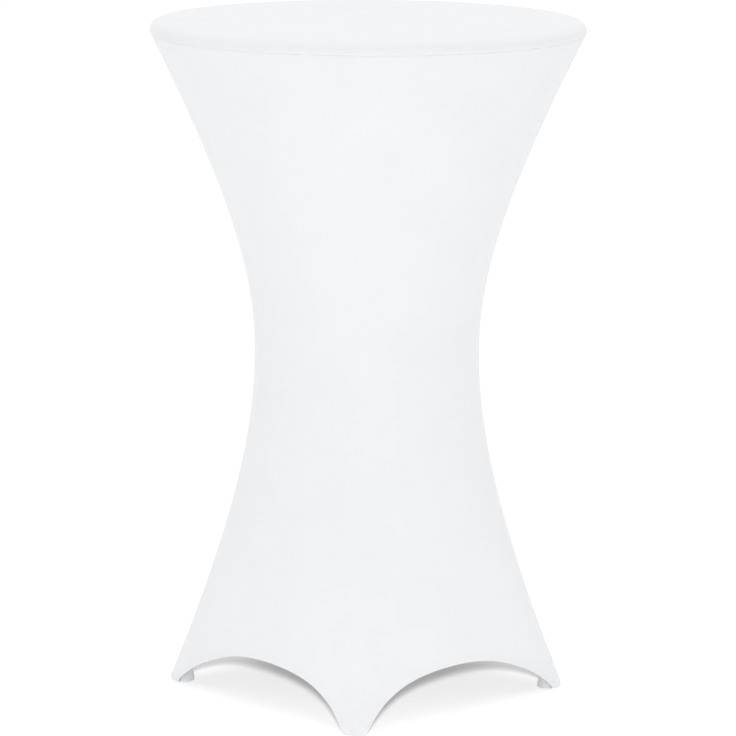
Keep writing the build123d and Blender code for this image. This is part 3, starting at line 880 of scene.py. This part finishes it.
def powderCoat(name, castSkin):
    # baked polyester powder: satin, with a fine orange-peel surface; on cast iron the sand
    # mould's grain still shows through it
    material, tree = newMaterial(name)
    spot = objectPlace(tree)
    peel = noise(tree, spot, orangePeel["grain"], 2.0)
    sand = noise(tree, spot, 0.9 * mm, 4.0, Roughness=0.7)
    relief = addNode(tree, "ShaderNodeMath", {"operation": "MULTIPLY_ADD"},
                     {0: sand, 1: castSkin, 2: peel})
    wear = noise(tree, spot, 35 * mm, 5.0, Roughness=0.65)
    rough = addNode(tree, "ShaderNodeMapRange", inputs={
        "Value": wear, "To Min": 0.38, "To Max": 0.55})
    shader = addNode(tree, "ShaderNodeBsdfPrincipled", inputs={
        "Base Color": tinted(tree, wear, orangePeel["colour"], orangePeel["dip"]),
        "Roughness": rough.outputs[0], "Coat Weight": 0.1,
        "Normal": bumped(tree, relief.outputs[0], 0.25, 0.2 * mm)})
    finishMaterial(tree, shader)
    return material


metals = {
    # bright zinc: slightly blue, with a cloudy passivated bloom
    "brightZincPlate": {"light": "#C9CCD0", "dark": "#A9ADB3", "rough": (0.25, 0.42),
                        "grain": 6 * mm},
    # black oxide on hardened screws: near black, oily
    "blackOxideSteel": {"light": "#2C2C2E", "dark": "#1C1C1E", "rough": (0.35, 0.5),
                        "grain": 2 * mm},
    # turned brass: warm, with fine rings from the lathe
    "turnedBrass": {"light": "#D9B566", "dark": "#B98F3F", "rough": (0.22, 0.35), "grain": 1 * mm},
}


def bareMetal(name):
    settings = metals[name]
    material, tree = newMaterial(name)
    spot = objectPlace(tree)
    cloud = noise(tree, spot, settings["grain"], 4.0)
    turned = addNode(tree, "ShaderNodeMapping", inputs={"Vector": spot, "Scale": (1.0, 1.0, 14.0)})
    rings = noise(tree, turned.outputs[0], 3 * mm, 2.0)
    rough = addNode(tree, "ShaderNodeMapRange", inputs={
        "Value": cloud, "To Min": settings["rough"][0], "To Max": settings["rough"][1]})
    shader = addNode(tree, "ShaderNodeBsdfPrincipled", inputs={
        "Base Color": tinted(tree, cloud, settings["light"], settings["dark"]),
        "Roughness": rough.outputs[0], "Metallic": 1.0,
        "Normal": bumped(tree, rings, 0.12, 0.05 * mm)})
    finishMaterial(tree, shader)
    return material


chipboard = {"chip": 2.6 * mm, "pale": "#D8B98A", "dark": "#8E6B43"}


def particleBoard():
    # wood chips and resin, pressed: short pale and brown flakes, matt and slightly rough
    material, tree = newMaterial("particleBoard")
    spot = objectPlace(tree)
    drawn = addNode(tree, "ShaderNodeMapping", inputs={"Vector": spot, "Scale": (1.0, 2.2, 3.0)})
    chips = addNode(tree, "ShaderNodeTexVoronoi", {"feature": "F1"}, {
        "Vector": drawn.outputs[0], "Scale": 1 / chipboard["chip"], "Randomness": 1.0})
    dust = noise(tree, spot, 0.6 * mm, 3.0)
    shade = addNode(tree, "ShaderNodeSeparateXYZ", inputs={0: chips.outputs["Color"]})
    relief = addNode(tree, "ShaderNodeMath", {"operation": "ADD"},
                     {0: chips.outputs["Distance"], 1: dust})
    shader = addNode(tree, "ShaderNodeBsdfPrincipled", inputs={
        "Base Color": tinted(tree, shade.outputs[0], chipboard["pale"], chipboard["dark"]),
        "Roughness": 0.85, "Specular IOR Level": 0.25,
        "Normal": bumped(tree, relief.outputs[0], 0.4, 0.2 * mm)})
    finishMaterial(tree, shader)
    return material


plastics = {
    # decor paper under melamine: hard, with a pressed fine pearl texture
    "whiteMelamineLaminate": {"light": "#EDEDEA", "dark": "#E6E6E3", "grain": 0.9 * mm,
                              "rough": 0.38, "relief": 0.2},
    # extruded ABS edging: even white with faint lines from the die
    "whiteAbsEdging": {"light": "#ECECEA", "dark": "#E4E4E2", "grain": 2.5 * mm,
                       "rough": 0.34, "relief": 0.08},
    # moulded nylon glide: milky, waxy, scuffed matt where it slides
    "naturalNylon": {"light": "#E9E6DC", "dark": "#D6D1C4", "grain": 1.5 * mm,
                     "rough": 0.42, "relief": 0.15},
}


def hardPlastic(name):
    settings = plastics[name]
    material, tree = newMaterial(name)
    spot = objectPlace(tree)
    pearl = noise(tree, spot, settings["grain"], 2.0)
    cloud = noise(tree, spot, 60 * mm, 3.0)
    rough = addNode(tree, "ShaderNodeMapRange", inputs={
        "Value": pearl, "To Min": settings["rough"] - 0.06, "To Max": settings["rough"] + 0.06})
    shader = addNode(tree, "ShaderNodeBsdfPrincipled", inputs={
        "Base Color": tinted(tree, cloud, settings["light"], settings["dark"]),
        "Roughness": rough.outputs[0],
        "Normal": bumped(tree, pearl, settings["relief"], 0.1 * mm)})
    finishMaterial(tree, shader)
    return material


def finishTable():
    coated = powderCoat("powderCoatedSteel", 0.2)
    castCoated = powderCoat("powderCoatedCastIron", 1.4)
    zinc, oxide, brass = (bareMetal(name) for name in metals)
    laminate, edging, nylon = (hardPlastic(name) for name in plastics)
    finishes = {
        "top_laminate": laminate, "edge_band": edging, "table_board": particleBoard(),
        "top_plate": coated, "column_tube": coated, "base_hub": castCoated, "base_arm": castCoated,
        "plate_screws": zinc, "tie_rod": zinc, "rod_nuts": zinc, "rod_washers": zinc,
        "glide_stud": zinc, "arm_screws": oxide, "arm_insert": brass, "glide_pad": nylon,
    }
    for name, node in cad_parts.items():
        for start, material in finishes.items():
            if name.startswith(start):
                node.data.materials.clear()
                node.data.materials.append(material)


finishTable()
print("stage: table finishes")

for piece, nodes in ((skirtFront, ("skirt_front", "hem_band_front_left", "hem_band_front_right")),
                     (skirtBack, ("skirt_back", "hem_band_back_left", "hem_band_back_right")),
                     (coverTop, ("cover_top",))):
    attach(piece, "root")
    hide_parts(*nodes)
for piece, node in [(rimTape, "rim_tape")] + [(a, f"side_seam_{s}") for s, a in allowances.items()]:
    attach(piece, "root")
    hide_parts(node)
for piece in [*hemStitches.values(), *pocketSeams.values()]:
    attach(piece, "root")
for foot, angle in feet.items():
    for piece in (pockets[foot], pocketStitches[foot]):
        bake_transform(piece)
    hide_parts(f"foot_pocket_{foot}")
    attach(cups[foot], f"glide_{foot}")
    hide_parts(f"pocket_cup_{foot}")

light = {
    "floorHalf": 30,  # half the floor's width, in metres
    "sky": 1.0,  # a white tent, even from all sides
    "floor": 0.30,  # share of light the acrylic floor sends back
    "paintedShadowGlow": (0.28, 0.50),  # painted light and shade: the floor's own glow, low under the table as a painted contact shadow, higher further off
    "glowFrom": 0.27,  # sum of the distances along both feet's lines: about the cover's footprint, where the painted contact shadow starts to fade
    "glowTo": 0.5,
    "paintedFarLight": 0.25,  # more painted light where the floor key no longer reaches
    "farFrom": 1.0,
    "farTo": 3.0,
    "front": {"place": (0.2, -5.0, 2.0), "aim": (0, 0, 0.5), "size": (2.2, 1.8), "power": 7.0,
              "spread": 180},
    "top": {"place": (0.0, 0.0, 3.8), "aim": (0, 0, 1.1), "size": (1.6, 1.6), "power": 8.0,
            "spread": 180},
    # a narrower light over the camera's shoulder, for the floor only: it reaches in under the hem
    "floorKey": {"place": (0.3, -6.1, 2.1), "aim": (0, 0, 0), "size": (0.6, 0.4), "power": 39.0,
                 "spread": 26},
}


def addAreaLight(name, settings):
    data = bpy.data.lights.new(name, "AREA")
    data.shape = "RECTANGLE"
    data.size, data.size_y = settings["size"]
    data.energy = settings["power"]
    data.spread = settings["spread"] * degree
    lamp = bpy.data.objects.new(name, data)
    lamp.location = settings["place"]
    towards = Vector(settings["aim"]) - Vector(settings["place"])
    lamp.rotation_mode = "QUATERNION"
    lamp.rotation_quaternion = towards.to_track_quat("-Z", "Y")
    bpy.context.scene.collection.objects.link(lamp)
    return lamp


def makeStage():
    scene = bpy.context.scene
    scene.view_settings.view_transform = "Standard"
    world = bpy.data.worlds.new("studio")
    scene.world = world
    world.use_nodes = True
    tree = world.node_tree
    tree.nodes.clear()
    tent = addNode(tree, "ShaderNodeBackground", inputs={
        "Color": (1, 1, 1, 1), "Strength": light["sky"]})
    addNode(tree, "ShaderNodeOutputWorld", inputs={"Surface": tent.outputs[0]})

    # a floor that glows though it is no lamp: plain white around a painted soft contact shadow,
    # where its glow is lower
    material, tree = newMaterial("floorWithPaintedShadow")
    spot = objectPlace(tree)
    folded = addNode(tree, "ShaderNodeVectorMath", {"operation": "ABSOLUTE"}, {0: spot})
    away = addNode(tree, "ShaderNodeVectorMath", {"operation": "DOT_PRODUCT"},
                   {0: folded.outputs[0], 1: (1, 1, 0)})
    # painted contact shadow: the glow is low inside the cover's footprint and rises outside it
    glow = addNode(tree, "ShaderNodeMapRange", {"interpolation_type": "SMOOTHSTEP"}, {
        "Value": away.outputs["Value"], "From Min": light["glowFrom"], "From Max": light["glowTo"],
        "To Min": light["paintedShadowGlow"][0], "To Max": light["paintedShadowGlow"][1]})
    # painted light: the floor glows more further off, where the floor key no longer reaches
    far = addNode(tree, "ShaderNodeMapRange", {"interpolation_type": "SMOOTHSTEP"}, {
        "Value": away.outputs["Value"], "From Min": light["farFrom"], "From Max": light["farTo"],
        "To Min": 0.0, "To Max": light["paintedFarLight"]})
    strength = addNode(tree, "ShaderNodeMath", {"operation": "ADD"},
                       {0: glow.outputs[0], 1: far.outputs[0]})
    share = light["floor"]
    matt = addNode(tree, "ShaderNodeBsdfDiffuse", inputs={"Color": (share, share, share, 1)})
    shine = addNode(tree, "ShaderNodeEmission", inputs={
        "Color": (1, 1, 1, 1), "Strength": strength.outputs[0]})
    lit = addNode(tree, "ShaderNodeAddShader", inputs={0: matt.outputs[0], 1: shine.outputs[0]})
    finishMaterial(tree, lit)
    side = light["floorHalf"]
    mesh = bpy.data.meshes.new("floor")
    mesh.from_pydata([(-side, -side, 0), (side, -side, 0), (side, side, 0), (-side, side, 0)], [],
                     [(0, 1, 2, 3)])
    floor = addObject("floor", mesh, material)

    addAreaLight("frontLight", light["front"])
    addAreaLight("topLight", light["top"])
    floorKey = addAreaLight("floorKey", light["floorKey"])
    floorOnly = bpy.data.collections.new("floorOnly")
    floorOnly.objects.link(floor)
    floorKey.light_linking.receiver_collection = floorOnly


makeStage()
print("stage: light and floor")
